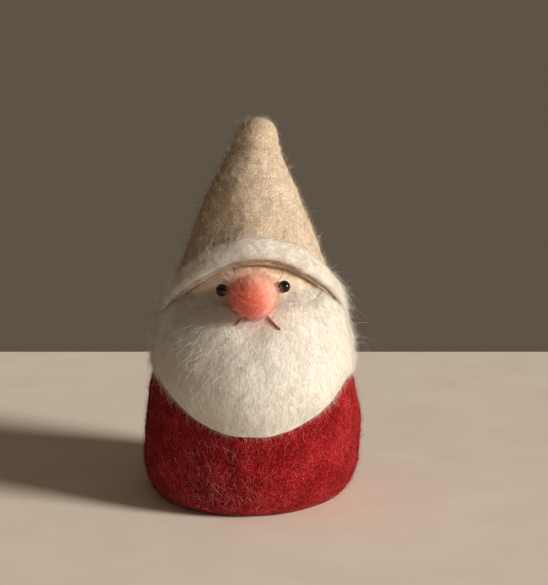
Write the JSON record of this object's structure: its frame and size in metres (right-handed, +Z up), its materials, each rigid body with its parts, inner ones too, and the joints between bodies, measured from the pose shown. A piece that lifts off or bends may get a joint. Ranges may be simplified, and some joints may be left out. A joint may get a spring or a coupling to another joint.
{
  "type": "felted gnome figurine",
  "caption": "Needle-felted wool gnome with a round beard, ball nose and bead eyes, and a tall felt hat with a rolled band that lifts off; it stands on a flat felt sole.",
  "frame": {"origin": "on the ground under the middle of the flat base", "axes": "+Z up along the body and the hat, -Y the way the face looks, +X to the right as seen from the front"},
  "size_m": [0.0724, 0.0746, 0.127],
  "materials": {
    "sole_felt": "dark red felt",
    "red_wool": "needle-felted wool with loose fibres",
    "core_wool": "undyed core wool",
    "skin_wool": "fine peach wool",
    "nose_wool": "firmly felted coral wool",
    "bead_glass": "glossy black opaque glass",
    "black_thread": "black sewing thread",
    "mouth_thread": "dark red cotton thread",
    "white_wool": "combed white wool with loose fibres",
    "hat_felt": "oatmeal wool felt with darker specks"
  },
  "bodies": {
    "body": {"base_felt": "sole_felt", "robe": "red_wool", "body_core": "core_wool", "head_core": "core_wool", "face": "skin_wool", "nose": "nose_wool", "eye_bead_left": "bead_glass", "eye_bead_right": "bead_glass", "eye_thread_left": "black_thread", "eye_thread_right": "black_thread", "mouth_stitch_left": "mouth_thread", "mouth_stitch_right": "mouth_thread", "beard": "white_wool", "back_hair": "white_wool"},
    "hat": {"hat_shell": "hat_felt", "hat_band": "white_wool", "hat_stuffing": "core_wool"}
  },
  "joints": [
    {"name": "hat_lift", "type": "slide", "parent": "body", "child": "hat", "axis": [0, 0, 1], "range_m": [0, 0.06]}
  ]
}
